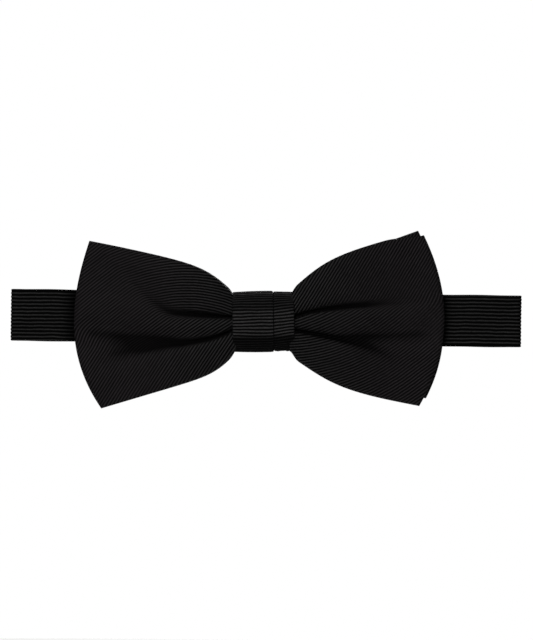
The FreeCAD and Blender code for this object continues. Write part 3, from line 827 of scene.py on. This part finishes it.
def make_straps():
    """The strap's two halves, each folded back behind the bow, and its doubled-back layer with the end
    loop."""
    gap_middle = FOLD_GAP / 2
    radius = (BACK_RUN - FRONT_RUN) / 2
    fold = (0, FOLD_BEGIN * FOLD_GAP, 0), (0, FOLD_END * FOLD_GAP, 0)
    left = np.vstack([
        straight(0, LEFT_FOLD, FRONT_RUN),
        arc((LEFT_FOLD, gap_middle), radius, 270, 90, 25)[1:-1],
        straight(LEFT_FOLD, EYE_AXIS, BACK_RUN),
        arc((EYE_AXIS, TURN_DEPTH), TURN_RADIUS, -90, 90, 17)[1:-1],
        straight(EYE_AXIS, EYE_AXIS - TAB, RETURN_RUN),
    ])
    high = np.where(left[:, 1] < gap_middle, top_edge(left[:, 0]), STRAP_HALF)
    made = make_strap("strap_left", left, np.full(len(left), -STRAP_HALF), high)
    nodes = ["band_left_fold", "band_left_half"]
    finish_strap(made, left, 2 * STRAP_HALF, (ROOT, "left_half"), *fold, nodes)

    right = np.vstack([
        straight(0, RIGHT_FOLD, FRONT_RUN),
        arc((RIGHT_FOLD, gap_middle), radius, -90, 90, 25)[1:-1],
        straight(RIGHT_FOLD, HOOK_AXIS, BACK_RUN),
    ])
    behind_knot = (right[:, 1] > gap_middle) & (right[:, 0] < NECK_REACH)
    high = np.where(behind_knot, NECK_TOP, top_edge(right[:, 0]))
    made = make_strap("strap_right", right, np.full(len(right), -STRAP_HALF), high)
    nodes = ["band_front_run", "band_right_fold", "band_right_half"]
    finish_strap(made, right, 2 * STRAP_HALF, (ROOT, "right_half"), *fold, nodes)

    doubled = np.vstack([
        arc((HOOK_AXIS, TURN_DEPTH), TURN_RADIUS, 270, 90, 17),
        straight(HOOK_AXIS, BAR[0], RETURN_RUN)[1:],
        arc(BAR, TURN_RADIUS, -90, 90, 17)[1:-1],
        straight(BAR[0], END_LOW[0], BAR[1] + TURN_RADIUS),
    ])
    low, high = np.full(len(doubled), -STRAP_HALF), np.full(len(doubled), NECK_TOP)
    made = make_strap("strap_return", doubled, low, high)
    slack = (HOOK_AXIS + 3, 0, 0), (END_LOW[0], 0, 0)
    nodes = ["band_return_layer", "adjuster_end_loop"]
    finish_strap(made, doubled, STRAP_HALF + NECK_TOP, ("right_half", "adjuster"), *slack, nodes)


# ---- small pieces ----


def stitch(middle, along, out):
    """One bowed thread that dips into the silk at both ends, as points and faces."""
    ring, stations = 8, 9
    aside = np.cross(along, out)
    turn = np.linspace(0, 2 * math.pi, ring, endpoint=False)[:, None]
    points = []
    for share in np.linspace(0, 1, stations):
        lift = math.sin(math.pi * share)
        radius = STITCH_THICK / 2 * (0.35 + 0.65 * lift**0.5)
        centre = middle + along * STITCH_LENGTH * (share - 0.5) + out * STITCH_LIFT * (lift - 0.75)
        points.append(centre + radius * (np.cos(turn) * aside + np.sin(turn) * out))
    last = ring * (stations - 1)
    caps = [list(range(ring)), [last + i for i in range(ring)][::-1]]
    return np.vstack(points), grid_faces(0, stations, ring, around=True, flip=True) + caps


def make_stitches(name, node, body, middles, along, out, material, tilt=None):
    """A node's row or block of sewn stitches, each at its middle, drawn along one direction."""
    points, faces = [], []
    for middle in middles:
        own, own_faces = stitch(np.array(middle), np.array(along), np.array(out))
        first = sum(len(made) for made in points)
        faces += [[first + i for i in face] for face in own_faces]
        points.append(own)
    made = add_object(name, np.vstack(points), faces, None, material, tilt)
    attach(made, body)
    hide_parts(node)


def block(node, columns, rows=5):
    """Middles of the stitches that fill a node's box, which lie just proud of the silk at its back."""
    low, high = box_mm(node)
    inset = STITCH_THICK / 2
    across = [(low[0] + high[0]) / 2]
    if columns > 1:
        across = np.linspace(low[0] + inset, high[0] - inset, columns)
    up = np.linspace(low[2] + STITCH_LENGTH / 2, high[2] - STITCH_LENGTH / 2, rows)
    return [(x, low[1], z) for x in across for z in up]


def make_all_stitches():
    upright, back, down, sideways = (0, 0, 1), (0, 1, 0), (0, 0, -1), (1, 0, 0)
    seam_across = [SEAM_STEP * (number - (SEAM_COUNT - 1) / 2) for number in range(SEAM_COUNT)]
    seam = [(across, SEAM_DEPTH, -KNOT_HALF) for across in seam_across]
    make_stitches("eye_tack_stitches", "eye_loop_tack", "left_half", block("eye_loop_tack", 2),
                  upright, back, BLACK_THREAD)
    make_stitches("label_end_stitches", "label_stitches", "left_half", block("label_stitches", 2),
                  upright, back, PALE_THREAD)
    make_stitches("adjuster_tack_stitches", "adjuster_end_tack", "adjuster", block("adjuster_end_tack", 1),
                  upright, back, BLACK_THREAD)
    make_stitches("knot_seam_threads", "knot_seam_stitches", ROOT, seam,
                  sideways, down, BLACK_THREAD, BOW_TILT)


def make_label():
    """The blank label: a thin satin rectangle whose short ends are turned under and puff a little, each with
    a row of stitches drawn into it."""
    low, high = box_mm("size_label")
    turned, row_inset, row_wide, row_deep = 0.5, 0.75, 0.3, 0.12
    columns, rows = 61, 33
    x = np.linspace(low[0], high[0], columns)[:, None]
    z = np.linspace(low[2], high[2], rows)[None, :]
    from_end = np.minimum(x - low[0], high[0] - x)
    from_side = np.minimum(z - low[2], high[2] - z)
    puff = np.sqrt(np.clip(np.minimum(from_end, from_side * 2) / turned, 0, 1))
    sewn = row_deep * np.exp(-(((from_end - row_inset) / row_wide) ** 2))
    waves = 0.03 * np.sin(x * 1.1) * np.sin(z * 0.9)
    top = low[1] + (high[1] - low[1]) * (0.35 + 0.65 * puff) - sewn + waves
    x, z = np.broadcast_to(x, top.shape), np.broadcast_to(z, top.shape)
    upper = np.stack([x, top, z], -1)
    lower = np.stack([x, np.full(top.shape, low[1]), z], -1)
    faces = grid_faces(0, columns, rows, flip=True) + grid_faces(columns * rows, columns, rows)
    above, below = rim_of(0, columns, rows), rim_of(columns * rows, columns, rows)
    ahead = [(i + 1) % len(above) for i in range(len(above))]
    faces += [[above[j], below[j], below[i], above[i]] for i, j in enumerate(ahead)]
    points = np.concatenate([upper.reshape(-1, 3), lower.reshape(-1, 3)])
    made = add_object("label_blank", points, faces, None, LABEL)
    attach(made, "left_half")
    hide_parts("size_label")


def dress_cad_nodes():
    """Better materials on the CAD pieces that stay."""
    finishes = {
        "band_front_interlining": CANVAS,
        "band_left_interlining": CANVAS,
        "band_right_interlining": CANVAS,
        "front_bow_interlining": CANVAS,
        "back_bow_interlining": CANVAS,
        "knot_pad": FELT,
        "gathering_thread": BLACK_THREAD,
        "eye": PLATED,
        "hook": PLATED,
        "adjuster_frame": ADJUSTER,
    }
    for node, material in finishes.items():
        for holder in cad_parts[node].material_slots:
            holder.material = material


# ---- studio ----


def make_floor():
    """A round sheet of pale paper below the tie."""
    n = Nodes("floor_paper")
    cloudy = n.noise(n.object_place(), 3.0, 2)
    material = n.finish(Base_Color=n.ramp(cloudy, (0.93, 0.93, 0.93), (0.96, 0.96, 0.96)), Roughness=0.9)
    radius, height = 0.33, -0.12
    edge = [(x, y, height) for x, y in arc((0, 0), radius, 0, 360, 97)[:-1]]
    mesh = bpy.data.meshes.new("floor")
    mesh.from_pydata(edge, [], [list(range(len(edge)))])
    mesh.materials.append(material)
    floor = bpy.data.objects.new("floor", mesh)
    bpy.context.scene.collection.objects.link(floor)


def add_light(name, place, size, power):
    """A soft light at a place in metres, turned towards the bow."""
    data = bpy.data.lights.new(name, "AREA")
    data.shape = "RECTANGLE"
    data.size, data.size_y = size
    data.energy = power
    lamp = bpy.data.objects.new(name, data)
    lamp.location = place
    lamp.rotation_mode = "QUATERNION"
    lamp.rotation_quaternion = (-Vector(place)).to_track_quat("-Z", "Y")
    bpy.context.scene.collection.objects.link(lamp)


def make_studio():
    """White surroundings that give little light themselves, and three soft lights."""
    world = bpy.data.worlds.new("studio")
    bpy.context.scene.world = world
    world.use_nodes = True
    tree = world.node_tree
    seen, light = tree.nodes["Background"], tree.nodes.new("ShaderNodeBackground")
    seen.inputs["Color"].default_value = (1, 1, 1, 1)
    light.inputs["Color"].default_value = (1, 1, 1, 1)
    light.inputs["Strength"].default_value = 0.05
    rays = tree.nodes.new("ShaderNodeLightPath")
    mix = tree.nodes.new("ShaderNodeMixShader")
    tree.links.new(rays.outputs["Is Camera Ray"], mix.inputs[0])
    tree.links.new(light.outputs[0], mix.inputs[1])
    tree.links.new(seen.outputs[0], mix.inputs[2])
    tree.links.new(mix.outputs[0], tree.nodes["World Output"].inputs["Surface"])
    add_light("key", (-0.15, -1.1, 0.22), (0.3, 0.22), 5.5)
    add_light("top", (-0.2, -0.35, 0.85), (0.5, 0.3), 4)
    add_light("back", (0.3, 0.9, 0.35), (0.6, 0.5), 9)
    bpy.context.scene.view_settings.view_transform = "Standard"


def make_camera():
    """Level with the tie and square to it, far enough off to keep its straps parallel."""
    data = bpy.data.cameras.new("camera")
    data.lens = 400
    data.sensor_width = 36
    camera = bpy.data.objects.new("camera", data)
    shown_height, roll = 0.2086, 0.756
    aim = (0.00098, -0.005, -0.0006)
    away = shown_height * data.lens / data.sensor_width
    camera.location = (aim[0], aim[1] - away, aim[2])
    camera.rotation_euler = (math.radians(90), math.radians(-roll), 0)
    data.clip_start, data.clip_end = 0.05, 20
    bpy.context.scene.collection.objects.link(camera)
    bpy.context.scene.camera = camera


make_camera()
make_studio()
make_floor()
make_bow()
make_knot()
make_straps()
make_label()
make_all_stitches()
dress_cad_nodes()
